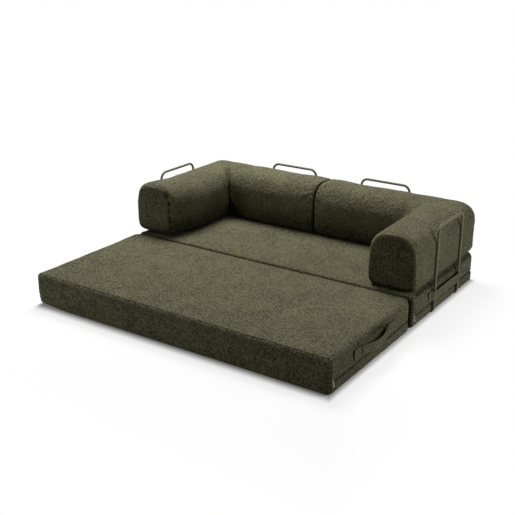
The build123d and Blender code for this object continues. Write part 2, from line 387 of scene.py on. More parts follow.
class Wardrobe:
    """Every finish of the sofa bed, made once."""

    def __init__(self) -> None:
        """Builds the materials."""
        moulded = {"grain": 700.0, "strength": 0.2, "distance": 0.0003, "roughness": 0.65, "specular": 0.15}
        brushed = {"grain": 900.0, "strength": 0.2, "distance": 0.0002, "roughness": 0.42, "metallic": 0.6}
        spongy = {"grain": 900.0, "strength": 0.5, "distance": 0.001, "roughness": 0.95, "porous": True}
        slab_pile = {"tuft_scale": 124.0, "pits": 0.37, "tips": 0.595, "relief": 0.0050}
        scratches = (1.0, 1.0, 0.15)
        self.looped = LoopedCloth().make()
        self.slab_looped = LoopedCloth("slab_cloth", **slab_pile).make()
        self.banded = LoopedCloth("strap_cloth", tuft_scale=150.0, patch_scale=14.0, relief=0.0022).make()
        self.tape = WovenCloth("tape_cloth", (0.030, 0.029, 0.019), (0.060, 0.057, 0.038)).make()
        self.coil = Grained("nylon_coil", (0.010, 0.010, 0.006), (0.018, 0.018, 0.012), **moulded).make()
        self.backing = WovenCloth("backing_cloth", (0.016, 0.016, 0.013), (0.034, 0.033, 0.026)).make()
        self.thread = WovenCloth(
            "sewing_thread", (0.075, 0.072, 0.045), (0.13, 0.125, 0.08), threads=2400.0, roughness=0.7
        ).make()
        self.steel = CoatedSteel().make()
        self.metal = Grained(
            "plated_metal", (0.40, 0.38, 0.28), (0.58, 0.55, 0.43), stretch=scratches, **brushed
        ).make()
        self.plastic = Grained(
            "moulded_plastic", (0.012, 0.012, 0.011), (0.022, 0.022, 0.020), **moulded
        ).make()
        self.soft_foam = Grained("comfort_foam", (0.52, 0.54, 0.55), (0.70, 0.72, 0.74), **spongy).make()
        self.firm_foam = Grained("support_foam", (0.62, 0.56, 0.40), (0.80, 0.74, 0.56), **spongy).make()


# Helpers for meshes


def marks_between(
    low: float, high: float, step: float, edge: Sequence[float], extra: Sequence[float] = ()
) -> list[float]:
    """Dividing marks along one length, close together near both ends and round extra places.

    Args:
        low: where the length starts.
        high: where it ends.
        step: the widest spacing.
        edge: distances from each end that get a mark.
        extra: more places that get a mark.

    Returns:
        The marks in order.
    """
    fixed = sorted({low, high, *[low + e for e in edge], *[high - e for e in edge], *extra})
    marks = [fixed[0]]
    for place in fixed[1:]:
        gap = place - marks[-1]
        if gap < CLOSEST_MARKS:
            continue
        parts = max(1, math.ceil(gap / step - 0.01))
        start = marks[-1]
        marks += [start + gap * (i + 1) / parts for i in range(parts)]
    return marks


def gridded_block(marks: Sequence[Sequence[float]]) -> bmesh.types.BMesh:
    """A closed box whose faces are divided at the given marks.

    Args:
        marks: the dividing marks along X, Y and Z.

    Returns:
        The box.
    """
    block = bmesh.new()
    bmesh.ops.create_cube(block, size=1.0, matrix=Matrix.Translation((0.5, 0.5, 0.5)))
    for axis, line in enumerate(marks):
        along = [e for e in block.edges if abs(e.verts[0].co[axis] - e.verts[1].co[axis]) > 0.5]
        bmesh.ops.subdivide_edges(block, edges=along, cuts=len(line) - 2, use_grid_fill=True)
    for vert in block.verts:
        vert.co = [line[round(vert.co[axis] * (len(line) - 1))] for axis, line in enumerate(marks)]
    return block


def as_object(name: str, shape: bmesh.types.BMesh, smooth: bool = True) -> bpy.types.Object:
    """Turns a finished bmesh into an object in the scene.

    Args:
        name: the object's name.
        shape: the mesh, freed afterwards.
        smooth: whether its faces shade smoothly.

    Returns:
        The object.
    """
    mesh = bpy.data.meshes.new(name)
    shape.to_mesh(mesh)
    shape.free()
    mesh.polygons.foreach_set("use_smooth", [smooth] * len(mesh.polygons))
    piece = bpy.data.objects.new(name, mesh)
    bpy.context.scene.collection.objects.link(piece)
    return piece


def read_points(mesh: bpy.types.Mesh) -> Points:
    """The vertices of a mesh as an array.

    Args:
        mesh: the mesh.

    Returns:
        One row of coordinates for each vertex.
    """
    flat = np.zeros(len(mesh.vertices) * 3)
    mesh.vertices.foreach_get("co", flat)
    return flat.reshape(-1, 3)


def read_normals(mesh: bpy.types.Mesh) -> Points:
    """The vertex normals of a mesh as an array.

    Args:
        mesh: the mesh.

    Returns:
        One normal for each vertex.
    """
    flat = np.zeros(len(mesh.vertices) * 3)
    mesh.vertex_normals.foreach_get("vector", flat)
    return flat.reshape(-1, 3)


def write_points(mesh: bpy.types.Mesh, points: Points) -> None:
    """Moves the vertices of a mesh."""
    mesh.vertices.foreach_set("co", points.ravel())
    mesh.update()


def paint_shading(mesh: bpy.types.Mesh, depth: np.ndarray) -> None:
    """Stores the painted shade of each vertex, which darkens the cloth there, or a painted highlight where it
    is below 0.
    """
    layer = mesh.attributes.new(PAINTED_SHADE, "FLOAT", "POINT")
    layer.data.foreach_set("value", np.clip(depth, -0.5, 1.0))


def face_outwards(piece: bpy.types.Object) -> None:
    """Turns the faces of a closed piece outwards.

    Args:
        piece: the object.
    """
    shape = bmesh.new()
    shape.from_mesh(piece.data)
    bmesh.ops.recalc_face_normals(shape, faces=shape.faces)
    shape.to_mesh(piece.data)
    shape.free()


def ease(value: np.ndarray) -> np.ndarray:
    """A smooth step from 0 to 1."""
    held = np.clip(value, 0.0, 1.0)
    return held * held * (3 - 2 * held)


def hill(value: np.ndarray, width: float) -> np.ndarray:
    """A smooth hill of height 1 round 0."""
    return np.exp(-((value / width) ** 2))


def highest(*values: np.ndarray) -> np.ndarray:
    """The highest of several values at each vertex."""
    return reduce(np.maximum, values)


def ripple(points: Points, wavelength: float, seed: float) -> np.ndarray:
    """Smooth noise at each point, about -1 to 1.

    Args:
        points: where it is read.
        wavelength: size of its features.
        seed: picks another pattern.

    Returns:
        One value for each point.
    """
    offset = Vector((seed * 7.3, seed * 3.1, seed * 5.7))
    scaled = points / wavelength
    return np.array([noise.noise(Vector(p) + offset) for p in scaled]) * 1.6


def refined(piece: bpy.types.Object) -> None:
    """Applies one level of subdivision surface to a piece.

    Args:
        piece: the object, which gets the finer mesh.
    """
    modifier = piece.modifiers.new("refine", "SUBSURF")
    modifier.levels = 1
    modifier.render_levels = 1
    graph = bpy.context.evaluated_depsgraph_get()
    mesh = bpy.data.meshes.new_from_object(piece.evaluated_get(graph))
    piece.modifiers.remove(modifier)
    old = piece.data
    name = old.name
    piece.data = mesh
    bpy.data.meshes.remove(old)
    mesh.name = name


@dataclass
class Stuffing:
    """Cloth simulation that swells a closed cover."""

    cap: float
    pressure: float = 2.5
    quality: int = 3
    frames: int = 20
    stiffness: float = 15.0

    def swell(self, piece: bpy.types.Object, held: np.ndarray) -> None:
        """Swells a piece and keeps the result.

        Args:
            piece: a closed mesh.
            held: how firmly each vertex stays, from 0 to 1.
        """
        scene = bpy.context.scene
        rest = read_points(piece.data)
        group = piece.vertex_groups.new(name="held")
        for index in np.nonzero(held > 0.01)[0]:
            group.add([int(index)], float(held[index]), "REPLACE")
        cloth = piece.modifiers.new("stuffing", "CLOTH")
        settings = cloth.settings
        settings.quality = self.quality
        settings.use_pressure = True
        settings.uniform_pressure_force = self.pressure
        settings.vertex_group_mass = group.name
        settings.tension_stiffness = self.stiffness
        settings.compression_stiffness = self.stiffness
        settings.effector_weights.gravity = 0.0
        cloth.collision_settings.use_collision = False
        cloth.point_cache.frame_start = 1
        cloth.point_cache.frame_end = self.frames
        for frame_number in range(1, self.frames + 1):
            scene.frame_set(frame_number)
        graph = bpy.context.evaluated_depsgraph_get()
        swollen = piece.evaluated_get(graph)
        moved = read_points(swollen.data)
        piece.modifiers.remove(cloth)
        piece.vertex_groups.clear()
        scene.frame_set(1)
        shift = moved - rest
        length = np.maximum(np.linalg.norm(shift, axis=1), TINY)
        kept = self.cap * np.tanh(length / self.cap) / length
        LOG.info("%s swells by up to %.4f m, kept to %.4f m", piece.name, length.max(), (kept * length).max())
        write_points(piece.data, rest + shift * kept[:, None])


def pile(piece: bpy.types.Object, height: float, pressed: Callable[[Points], np.ndarray]) -> None:
    """Lifts the cover's face to the tips of its pile, unevenly.

    Args:
        piece: the cover.
        height: mean height of the pile over the cloth.
        pressed: the share of the pile at each point, where something presses on it.
    """
    points = read_points(piece.data)
    share = pressed(points)
    lift = height * share + UNEVEN_PILE * ripple(points, 0.018, 1.0) * (0.3 + 0.7 * share)
    write_points(piece.data, points + read_normals(piece.data) * lift[:, None])


class Cover:
    """What all padded covers share: a gridded block is formed, swollen, sewn and given its pile."""

    swell_cap = 0.004
    pile_height = 0.0025

    def sculpt(self, name: str) -> bpy.types.Object:
        """Makes the cover's mesh.

        Args:
            name: the piece's name.

        Returns:
            The piece, still without its material.
        """
        piece = as_object(name, gridded_block(self.marks()))
        flat = read_points(piece.data)
        write_points(piece.data, self.form(flat))
        face_outwards(piece)
        Stuffing(self.swell_cap).swell(piece, self.held(flat))
        points = self.sewn(flat, read_points(piece.data), read_normals(piece.data))
        write_points(piece.data, self.shaped(points))
        paint_shading(piece.data, self.painted_shading(flat))
        refined(piece)
        pile(piece, self.pile_height, self.pressed)
        self.limit(piece)
        LOG.info("%s has %d vertices", piece.name, len(piece.data.vertices))
        return piece


# Slabs


def quarter_round(
    inside: np.ndarray, depth: np.ndarray, radius: np.ndarray | float
) -> tuple[np.ndarray, np.ndarray, np.ndarray]:
    """Wraps the vertices near a block's edge round a quarter circle.

    Args:
        inside: each vertex's distance from the block's side.
        depth: its distance from the face that ends in the edge.
        radius: the edge's radius.

    Returns:
        Which vertices lie on the round, how far each one moves outwards, and its new distance from the face.
    """
    share = np.where(depth < TOUCH, 0.5 * (1 - inside / radius), 0.5 + 0.5 * depth / radius)
    angle = np.clip(share, 0, 1) * math.pi / 2
    return (share > 0) & (share < 1), inside - radius * (1 - np.sin(angle)), radius * (1 - np.cos(angle))


@dataclass
class Slab(Cover):
    """A foam slab in its cover: the front mattress or the rear base."""

    name: str
    body: str
    front_roll: float
    rear_roll: float
    seam_offset: float
    seam_depth: float
    side_roll: float = 0.042
    left_roll: float = 0.042
    least_roll: float = 0.004
    foot_roll: float = 0.014
    front_radius: float = 0.030
    rear_radius: float = 0.030
    step: float = 0.014
    crown_rise: float = 0.008
    crown_reach: float = 0.10
    broad_rise: float = 0.0018
    broad_size: float = 0.30
    small_rise: float = 0.0012
    small_size: float = 0.11
    seam_width: float = 0.0038
    # Painted shade in the front seam.
    seam_shade: float = 1.0
    seam_ridge: float = 0.08
    seam_crumple: float = 0.13
    pucker_size: float = 0.015
    zip_height: float = 0.068
    zip_depth: float = 0.0125
    groove_width: float = 0.0052
    lip_offset: float = 0.0105
    lip_rise: float = 0.0010
    lip_width: float = 0.0034
    # Painted shade in the zip groove.
    zip_shade: float = 0.9
    zip_pressed: float = 0.8
    press_length: float = 0.016
    press_margin: float = 0.02
    low: Vector = field(init=False)
    high: Vector = field(init=False)

    def __post_init__(self) -> None:
        """Reads the slab's place from the frame."""
        bottom_low, bottom_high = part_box(self.name + "_bottom_cover")
        front_low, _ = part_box(self.name + "_front_panel")
        self.low = Vector((bottom_low.x, front_low.y, 0.0))
        self.high = Vector((bottom_high.x, bottom_high.y, SLAB_TOP))

    @property
    def facing(self) -> float:
        """The y of the wall that faces the other slab."""
        return self.high.y if self.high.y < 0 else self.low.y

    @property
    def seam_y(self) -> float:
        """Where the front panel's seam runs round the slab."""
        return self.low.y + self.seam_offset

    def marks(self) -> list[list[float]]:
        """Dividing marks of the slab's block.

        Returns:
            The marks along its three axes.
        """
        edge = [0.004, 0.009, 0.015, 0.022, 0.030, 0.040, 0.052]
        seam = [self.seam_y + d for d in (-0.007, -0.0035, -0.0014, 0.0, 0.0014, 0.0035, 0.007)]
        below_zip = (-0.016, -0.010, -0.006, -0.0045, -0.003)
        zips = [self.zip_height + d for d in (*below_zip, 0.0, *[-d for d in below_zip])]
        return [
            marks_between(self.low.x, self.high.x, self.step, edge),
            marks_between(self.low.y, self.high.y, self.step, edge, seam),
            marks_between(self.low.z, self.high.z, self.step, edge, zips),
        ]

    def form(self, flat: Points) -> Points:
        """Rounds the block's corners and edges and crowns its top.

        Args:
            flat: the block's vertices.

        Returns:
            The slab's vertices.
        """
        middle = (self.low.y + self.high.y) / 2
        half_x = self.high.x
        half_y = (self.high.y - self.low.y) / 2
        x, y, z = flat[:, 0], flat[:, 1] - middle, flat[:, 2]
        sign_x, sign_y = np.sign(x), np.sign(y)
        to_side, to_end = half_x - np.abs(x), half_y - np.abs(y)
        radius = np.where(sign_y < 0, self.front_radius, self.rear_radius)
        a, b = np.maximum(radius - to_side, 0), np.maximum(radius - to_end, 0)
        corner = (a > 0) & (b > 0)
        turn = np.where(corner, np.maximum(a, b) / np.maximum(np.hypot(a, b), TINY), 1.0)
        plan_x = np.where(corner, half_x - radius + a * turn, np.abs(x))
        plan_y = np.where(corner, half_y - radius + b * turn, np.abs(y))
        inside = np.minimum(to_side, to_end)
        reach = np.maximum(radius, self.side_roll) + self.least_roll
        out_x, out_y = np.maximum(reach - to_side, 0), np.maximum(reach - to_end, 0)
        size = np.maximum(np.hypot(out_x, out_y), TINY)
        out_x, out_y = out_x / size, out_y / size
        end_roll = np.where(sign_y < 0, self.front_roll, self.rear_roll)
        side_roll = np.where(sign_x < 0, self.left_roll, self.side_roll)
        roll = np.maximum(side_roll * out_x**2 + end_roll * out_y**2, self.least_roll)
        depth = self.high.z - z
        on_top, top_move, drop = quarter_round(inside, depth, roll)
        on_foot, foot_move, lift = quarter_round(inside, z, self.foot_roll)
        move = np.where(on_foot, foot_move, np.where(on_top, top_move, 0.0))
        new_z = np.where(on_foot, lift, np.where(on_top, self.high.z - drop, z))
        new_z = new_z + np.where(depth < TOUCH, self.crown(flat, inside), 0.0)
        new_x = sign_x * (plan_x + out_x * move)
        new_y = sign_y * (plan_y + out_y * move) + middle
        return np.stack([new_x, new_y, new_z], axis=1)

    def crown(self, flat: Points, inside: np.ndarray) -> np.ndarray:
        """How far the top stands above its edges."""
        return self.crown_rise * ease((inside - 0.012) / self.crown_reach)

    def on_zip(self, flat: Points) -> np.ndarray:
        """Finds the walls that the zip runs round.

        Args:
            flat: the block's vertices.

        Returns:
            1 on the sides and back behind the front seam, and 0 elsewhere.
        """
        on_sides = np.abs(np.abs(flat[:, 0]) - self.high.x) < TOUCH
        on_back = np.abs(flat[:, 1] - self.high.y) < TOUCH
        return np.where((on_sides | on_back) & (flat[:, 1] > self.seam_y), 1.0, 0.0)

    def on_side(self, points: Points, reach: float = 0.03) -> np.ndarray:
        """1 on the left and right walls, and 0 elsewhere."""
        return ease((np.abs(points[:, 0]) - self.high.x + reach) / 0.03)

    def facing_wall(self, flat: Points) -> np.ndarray:
        """Painted shade on the wall that faces the other slab: 1 up to near its top, and 0 elsewhere."""
        return np.where((self.facing - flat[:, 1]) ** 2 < TINY, ease((0.19 - flat[:, 2]) / 0.02), 0.0)

    def held(self, flat: Points) -> np.ndarray:
        """How firmly each vertex stays while the cover swells.

        Args:
            flat: the block's vertices.

        Returns:
            A share for each vertex, 1 where it does not move.
        """
        seam = hill(flat[:, 1] - self.seam_y, 0.004)
        along_zip = self.on_zip(flat) * hill(flat[:, 2] - self.zip_height, 0.005)
        on_floor = np.where(flat[:, 2] < 0.006, 1.0, 0.0)
        return highest(seam, along_zip, on_floor)

    def sewn(self, flat: Points, points: Points, normals: Points) -> Points:
        """Draws in the seam and the zip, and puckers the cloth beside them.

        Args:
            flat: the block's vertices.
            points: the swollen cover's vertices.
            normals: its vertex normals.

        Returns:
            The cover's vertices.
        """
        across = flat[:, 1] - self.seam_y
        seam_depth = self.seam_depth * ease(flat[:, 2] / 0.03)
        puckers = ripple(points, self.pucker_size, 2.0)
        pull = 0.75 + 0.45 * ripple(points, 0.035, 8.0)
        seam = -seam_depth * hill(across, self.seam_width) * pull
        ridge = self.seam_ridge * seam_depth * hill(across - 0.012, 0.008)
        crumple = self.seam_crumple * seam_depth * puckers * hill(across - 0.004, 0.014)
        along = flat[:, 2] - self.zip_height
        walls = self.on_zip(flat)
        groove = -self.zip_depth / (1 + (along / self.groove_width) ** 6) * walls
        lips = self.lip_rise * hill(along - self.lip_offset, self.lip_width) * walls
        move = seam + ridge + crumple + groove + lips
        return points + normals * move[:, None]

    def shaped(self, points: Points) -> Points:
        """Gives the top a broad soft unevenness and keeps the cover off the floor.

        Args:
            points: the cover's vertices.

        Returns:
            The cover's vertices, moved up and down.
        """
        broad = self.broad_rise * ripple(points, self.broad_size, 3.0)
        small = self.small_rise * ripple(points, self.small_size, 4.0)
        moved = points.copy()
        moved[:, 2] += (broad + small) * ease((points[:, 2] - 0.10) / 0.09)
        moved[:, 2] = np.maximum(moved[:, 2], FLOOR_GAP)
        return moved

    def painted_shading(self, flat: Points) -> np.ndarray:
        """Painted shade in the seam, the zip and the gap between the slabs, where shade falls.

        Args:
            flat: the block's vertices.

        Returns:
            The painted shade of each vertex, 1 where the cloth is darkest.
        """
        broken = np.clip(0.85 + 0.5 * ripple(flat, 0.012, 9.0), 0.3, 1)
        seam = self.seam_shade * hill(flat[:, 1] - self.seam_y, 0.0034) * ease(flat[:, 2] / 0.03) * broken
        zipped = self.zip_shade * hill(flat[:, 2] - self.zip_height, 0.0050) * self.on_zip(flat)
        return highest(seam, zipped, self.facing_wall(flat))

    def pressed(self, points: Points) -> np.ndarray:
        """The share of the pile at each point: little on the floor and under the zip's slider and pull.

        Args:
            points: the cover's vertices.

        Returns:
            The share of each vertex.
        """
        slider_low, slider_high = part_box(self.name + "_zip_slider")
        pull_low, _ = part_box(self.name + "_zip_pull")
        middle = (slider_low.y + slider_high.y) / 2
        near = hill(points[:, 1] - middle, self.press_length) * ease((points[:, 0] - 0.9) / 0.05)
        above_pull = ease((points[:, 2] - pull_low.z + self.press_margin) / 0.01)
        under_slider = ease((slider_high.z + self.press_margin - points[:, 2]) / 0.01)
        zipped = self.zip_pressed * hill(points[:, 2] - self.zip_height, 0.006)
        return ease(points[:, 2] / 0.02) * (1 - near * above_pull * under_slider) * (1 - zipped)

    def build(self, wardrobe: Wardrobe) -> None:
        """Makes the padded cover in place of its CAD nodes.

        Args:
            wardrobe: the finishes.
        """
        piece = self.sculpt(self.name + "_cover")
        dress(piece, wardrobe.slab_looped)
        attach(piece, self.body)
        nodes = ["top_cover", "bottom_cover", "front_panel", "comfort_foam", "support_foam"]
        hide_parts(*[f"{self.name}_{n}" for n in nodes])

    def limit(self, piece: bpy.types.Object) -> None:
        """Keeps the cover off the floor, and its crown under the fold line, where the folded slabs meet.

        Args:
            piece: the cover.
        """
        points = read_points(piece.data)
        rise = np.maximum(points[:, 2] - SLAB_TOP, 0.0)
        crown = float(rise.max())
        room = FOLD_HEIGHT - SLAB_TOP - CLEARANCE
        points[:, 2] -= rise * (1 - min(1.0, room / max(crown, TINY)))
        points[:, 2] = np.maximum(points[:, 2], FLOOR_GAP)
        write_points(piece.data, points)
        LOG.info("%s rose %.4f m over its edge", piece.name, crown)


@dataclass
class Mattress(Slab):
    """The front mattress: its sides are drawn in behind the handles, and its front left foot is tucked up."""

    dent_depth: float = 0.009
    dent_height: float = 0.166
    dent_shift: float = 0.025
    # Painted shade in the hollow over the handle.
    hollow_shade: float = 0.5
    hollow_height: float = 0.168
    hollow_shift: float = 0.045
    tuck_reach: float = 0.24
    tuck_height: float = 0.09
    tuck_in: float = 0.010
    tuck_up: float = 0.021

    def behind_handle(self, points: Points, shift: float, width: float) -> np.ndarray:
        """A hill along the side, whose top lies behind the handle's middle."""
        low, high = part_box("handle_loop_right")
        return hill(points[:, 1] - (low.y + high.y) / 2 - shift, width)

    def sewn(self, flat: Points, points: Points, normals: Points) -> Points:
        """Draws in the seams and the side behind each slack handle, and tucks up the front left foot.

        Args:
            flat: the block's vertices.
            points: the swollen cover's vertices.
            normals: its vertex normals.

        Returns:
            The cover's vertices.
        """
        points = super().sewn(flat, points, normals)
        behind = self.behind_handle(points, self.dent_shift, 0.10) * self.on_side(points, 0.05)
        dent = self.dent_depth * behind * hill(points[:, 2] - self.dent_height, 0.024)
        points[:, 0] -= np.sign(points[:, 0]) * dent
        from_corner = np.hypot(points[:, 0] - self.low.x, points[:, 1] - self.low.y)
        near_corner = np.clip(1 - from_corner / self.tuck_reach, 0, 1) ** 1.4
        tucked = near_corner * ease(1 - points[:, 2] / self.tuck_height)
        points[:, 0] += self.tuck_in * tucked
        points[:, 2] += self.tuck_up * tucked
        return points

    def painted_shading(self, flat: Points) -> np.ndarray:
        """Adds painted shade in the soft hollow over the slack handle.

        Args:
            flat: the block's vertices.

        Returns:
            The painted shade of each vertex.
        """
        behind = self.behind_handle(flat, self.hollow_shift, 0.11) * self.on_side(flat)
        hollow = self.hollow_shade * behind * hill(flat[:, 2] - self.hollow_height, 0.020)
        return np.maximum(super().painted_shading(flat), hollow)


@dataclass
class Base(Slab):
    """The rear base, whose top is pressed flat under the bolsters."""

    # Painted shade under the arms and beside the gap between the slabs.
    arm_shade: float = 0.55
    gap_shade: float = 0.4
    gap_reach: float = 0.06
    under_bolster: float = 0.035

    def crown(self, flat: Points, inside: np.ndarray) -> np.ndarray:
        """How far the seat between the bolsters stands above its edges.

        Args:
            flat: the block's vertices.
            inside: each vertex's distance from the slab's edge; not used.

        Returns:
            The rise of each vertex.
        """
        from_arm = arm_corner().x + self.under_bolster - np.abs(flat[:, 0])
        from_back = back_corner().y + self.under_bolster - flat[:, 1]
        room = np.minimum(np.minimum(from_arm, from_back), flat[:, 1] - self.low.y - 0.01)
        return self.crown_rise * ease(room / 0.07)

    def painted_shading(self, flat: Points) -> np.ndarray:
        """Adds painted shade under the bolsters' outer sides and beside the gap between the slabs.

        Args:
            flat: the block's vertices.

        Returns:
            The painted shade of each vertex.
        """
        behind_front = ease((flat[:, 1] - arm_corner().y) / 0.03)
        under_arm = self.arm_shade * ease((flat[:, 2] - 0.168) / 0.03) * behind_front
        by_gap = self.gap_shade * ease(1 - (flat[:, 1] - self.low.y) / self.gap_reach)
        return np.maximum(super().painted_shading(flat), np.maximum(under_arm, by_gap) * self.on_side(flat))

    def limit(self, piece: bpy.types.Object) -> None:
        """Keeps the cover off the floor and flat under the bolsters.

        Args:
            piece: the cover.
        """
        super().limit(piece)
        points = read_points(piece.data)
        arm = arm_corner()
        under_arm = (np.abs(points[:, 0]) > arm.x + 0.03) & (points[:, 1] > arm.y + 0.01)
        under_back = points[:, 1] > back_corner().y + 0.03
        flat_top = np.where(under_arm | under_back, SLAB_TOP + CLEARANCE, 1.0)
        points[:, 2] = np.minimum(points[:, 2], flat_top)
        write_points(piece.data, points)


def arm_corner() -> Vector:
    """The lowest inner front corner of the right arm."""
    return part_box("bolster_right_arm_panel")[0]


def back_corner() -> Vector:
    """The lowest inner corner of the right half of the back, where it parts from the left one."""
    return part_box("bolster_right_back_panel")[0]


# Bolsters


@dataclass
class Bolster(Cover):
    """An L-shaped bolster: an arm, a rounded corner and half of the back."""

    swell_cap = 0.006
    pile_height = 0.002

    side: Side
    inner_radius: float = 0.060
    outer_radius: float = 0.055
    end_roll: float = 0.020
    back_end_roll: float = 0.012
    top_power: float = 3.0
    end_power: float = 2.55
    foot_power: float = 6.5
    end_reach: float = 0.35
    step: float = 0.012
    crease_depth: float = 0.060
    crease_width: float = 0.055
    crease_and_shade_top: float = 0.3
    crease_least: float = 0.010
    crease_height: float = 0.24
    crease_fade: float = 0.30
    dome_rise: float = 0.007
    seam_depth: float = 0.0085
    seam_width: float = 0.0048
    seam_top: float = 0.8
    seam_inset: float = 0.004
    seam_shade: float = 0.8
    back_seam: float = 0.15
    crumple: float = 0.16
    pucker_size: float = 0.018
    bead: float = 0.0050
    # A painted highlight beside the end seam, then painted shade on the end face, towards the seat, at the
    # foot and where the bolster meets the base.
    rim_light: float = 0.0
    end_shade: float = 0.0
    seat_shade: float = 0.50
    foot_shade: float = 0.15
    contact_shade: float = 0.6
    end_contact_shade: float = 0.2
    # Width and height of the painted shade in the inner corner's pocket, on the arm's side and on the back's
    # side.
    arm_shade_pocket: tuple[float, float] = (0.085, 0.10)
    back_shade_pocket: tuple[float, float] = (0.14, 0.17)
    broad_rise: float = 0.003
    broad_size: float = 0.22
    small_rise: float = 0.0015
    small_size: float = 0.09
    flare: float = 0.0
    flare_reach: float = 0.28
    parting_shift: float = 0.0
    hoop_room: float = 0.0035
    arm_front: float = field(init=False)
    arm_inner: float = field(init=False)
    arm_outer: float = field(init=False)
    back_inner: float = field(init=False)
    back_outer: float = field(init=False)
    back_end: float = field(init=False)
    floor: float = field(init=False)
    top: float = field(init=False)

    def __post_init__(self) -> None:
        """Reads the bolster's place from the frame, as for the right side."""
        _, cover_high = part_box("bolster_right_cover")
        under_low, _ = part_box("bolster_right_underside")
        self.arm_front = arm_corner().y
        self.arm_inner = arm_corner().x
        self.arm_outer = cover_high.x
        self.back_inner = back_corner().y
        self.back_outer = cover_high.y
        self.back_end = back_corner().x + self.parting_shift
        self.floor = under_low.z
        self.top = cover_high.z

    @property
    def width(self) -> float:
        """The bolster's width across."""
        return self.arm_outer - self.arm_inner

    @property
    def height(self) -> float:
        """The bolster's height."""
        return self.top - self.floor

    @property
    def pivot(self) -> tuple[float, float]:
        """The point that the corner turns round."""
        return self.arm_inner - self.inner_radius, self.back_inner - self.inner_radius

    def lengths(self) -> tuple[float, float, float]:
        """Measures the bolster along its middle.

        Returns:
            The lengths at which the arm ends, the corner ends and the back ends.
        """
        arm = self.pivot[1] - self.arm_front
        corner = (self.inner_radius + self.width / 2) * math.pi / 2
        back = self.pivot[0] - self.back_end
        return arm, arm + corner, arm + corner + back

    def marks(self) -> list[list[float]]:
        """Dividing marks of the bolster's block.

        Returns:
            The marks across, along and up.
        """
        arm, corner, end = self.lengths()
        edge = [0.0015, 0.004, 0.008, 0.013, 0.020, 0.028]
        middle = (arm + corner) / 2
        shares = (-0.5, -0.4, -0.3, -0.22, -0.15, -0.1, -0.06, -0.03, -0.012, 0.0)
        fan = [middle + (corner - arm) * d for d in shares]
        fan += [2 * middle - f for f in fan]
        return [
            marks_between(0.0, self.width, self.step, [0.006]),
            marks_between(0.0, end, self.step, edge, fan),
            marks_between(0.0, self.height, self.step, [0.006]),
        ]

    def section(
        self, along: np.ndarray, across: np.ndarray, up: np.ndarray
    ) -> tuple[np.ndarray, np.ndarray, np.ndarray]:
        """Rounds the block's section.

        Args:
            along: distance along the bolster.
            across: distance from the inner face.
            up: height over the bolster's underside.

        Returns:
            Offsets from the section's middle, across and up, and the share of the way out from it.
        """
        a = 2 * across / self.width - 1
        b = 2 * up / self.height - 1
        share = highest(np.abs(a), np.abs(b), TINY)
        a, b = a / share, b / share
        top_power = self.top_power + (self.end_power - self.top_power) * ease(1 - along / self.end_reach)
        power = np.where(b > 0, top_power, self.foot_power)
        size = (np.abs(a) ** power + np.abs(b) ** power) ** (-1 / power)
        return a * size * self.width / 2, b * size * self.height / 2, share

    def corner_reach(self, angle: np.ndarray) -> np.ndarray:
        """Distance from the pivot to the outer faces, round the rounded outer corner.

        Args:
            angle: the direction from the pivot, in radians.

        Returns:
            The distance in each direction.
        """
        size = self.inner_radius + self.width
        centre = size - self.outer_radius
        start = math.atan(centre / size)
        along = centre * (np.cos(angle) + np.sin(angle))
        rounded = along + np.sqrt(np.maximum(along**2 - 2 * centre**2 + self.outer_radius**2, 0))
        straight = size / np.maximum(np.maximum(np.cos(angle), np.sin(angle)), TOUCH)
        return np.where((angle > start) & (angle < math.pi / 2 - start), rounded, straight)

    def form(self, flat: Points) -> Points:
        """Bends the block into the bolster's shape.

        Args:
            flat: the block's vertices: across, along and up.

        Returns:
            The bolster's vertices.
        """
        arm, corner, end = self.lengths()
        along = flat[:, 1]
        off_across, off_up, share = self.section(along, flat[:, 0], flat[:, 2])
        from_end = np.minimum(along, end - along)
        roll = np.where(along < end / 2, self.end_roll, self.back_end_roll)
        depth = np.clip(1 - from_end / roll, 0, 1)
        inset = roll * (1 - np.sqrt(np.maximum(1 - depth**2, 0)))
        scale = 1 - inset / (self.width / 2)
        on_cap = from_end < TOUCH
        dome = np.where(on_cap, self.dome_rise * (1 - share**2), 0.0)
        cap = np.where(on_cap, share, 1.0)
        across = self.width / 2 + off_across * scale * cap
        up = self.height / 2 + off_up * scale * cap
        pivot_x, pivot_y = self.pivot
        angle = np.clip((along - arm) / (corner - arm), 0, 1) * math.pi / 2
        stretch = (self.corner_reach(angle) - self.inner_radius) / self.width
        radius = self.inner_radius + across * stretch
        radius = radius + self.crease(along, across, up)
        x = pivot_x + radius * np.cos(angle)
        y = pivot_y + radius * np.sin(angle)
        y = y - np.maximum(arm - along, 0) - np.where(along < TOUCH, dome, 0.0)
        x = x - np.maximum(along - corner, 0) - np.where(along > end - TOUCH, dome, 0.0)
        return np.stack([x, y, up + self.floor], axis=1)

    def from_corner(self, along: np.ndarray) -> np.ndarray:
        """Distance along the inner face from the middle of the corner.

        Args:
            along: distance along the bolster.

        Returns:
            The distance of each vertex.
        """
        arm, corner, _ = self.lengths()
        turn = np.clip((along - arm) / (corner - arm) - 0.5, -0.5, 0.5) * math.pi / 2 * self.inner_radius
        return np.abs(turn) + np.maximum(arm - along, 0) + np.maximum(along - corner, 0)

    def crease(self, along: np.ndarray, across: np.ndarray, up: np.ndarray) -> np.ndarray:
        """How far the inner corner is drawn in: a fine valley on top that opens into a hollow at its foot.

        Args:
            along: distance along the bolster.
            across: distance from the inner face.
            up: height over the underside.

        Returns:
            The outward shift of each vertex.
        """
        from_middle = self.from_corner(along)
        low_down = ease(1 - up / self.crease_height) ** 1.5
        width = self.crease_least + (self.crease_width - self.crease_least) * low_down
        top_depth = self.crease_and_shade_top * self.crease_depth
        depth = top_depth + (self.crease_depth - top_depth) * ease(1 - up / self.crease_fade)
        near = 1 - np.clip(from_middle / width, 0, 1)
        cusp = 1 - np.sqrt(np.maximum(1 - near**2, 0))
        inner = ease(1 - across / (0.42 * self.width))
        return depth * cusp * inner

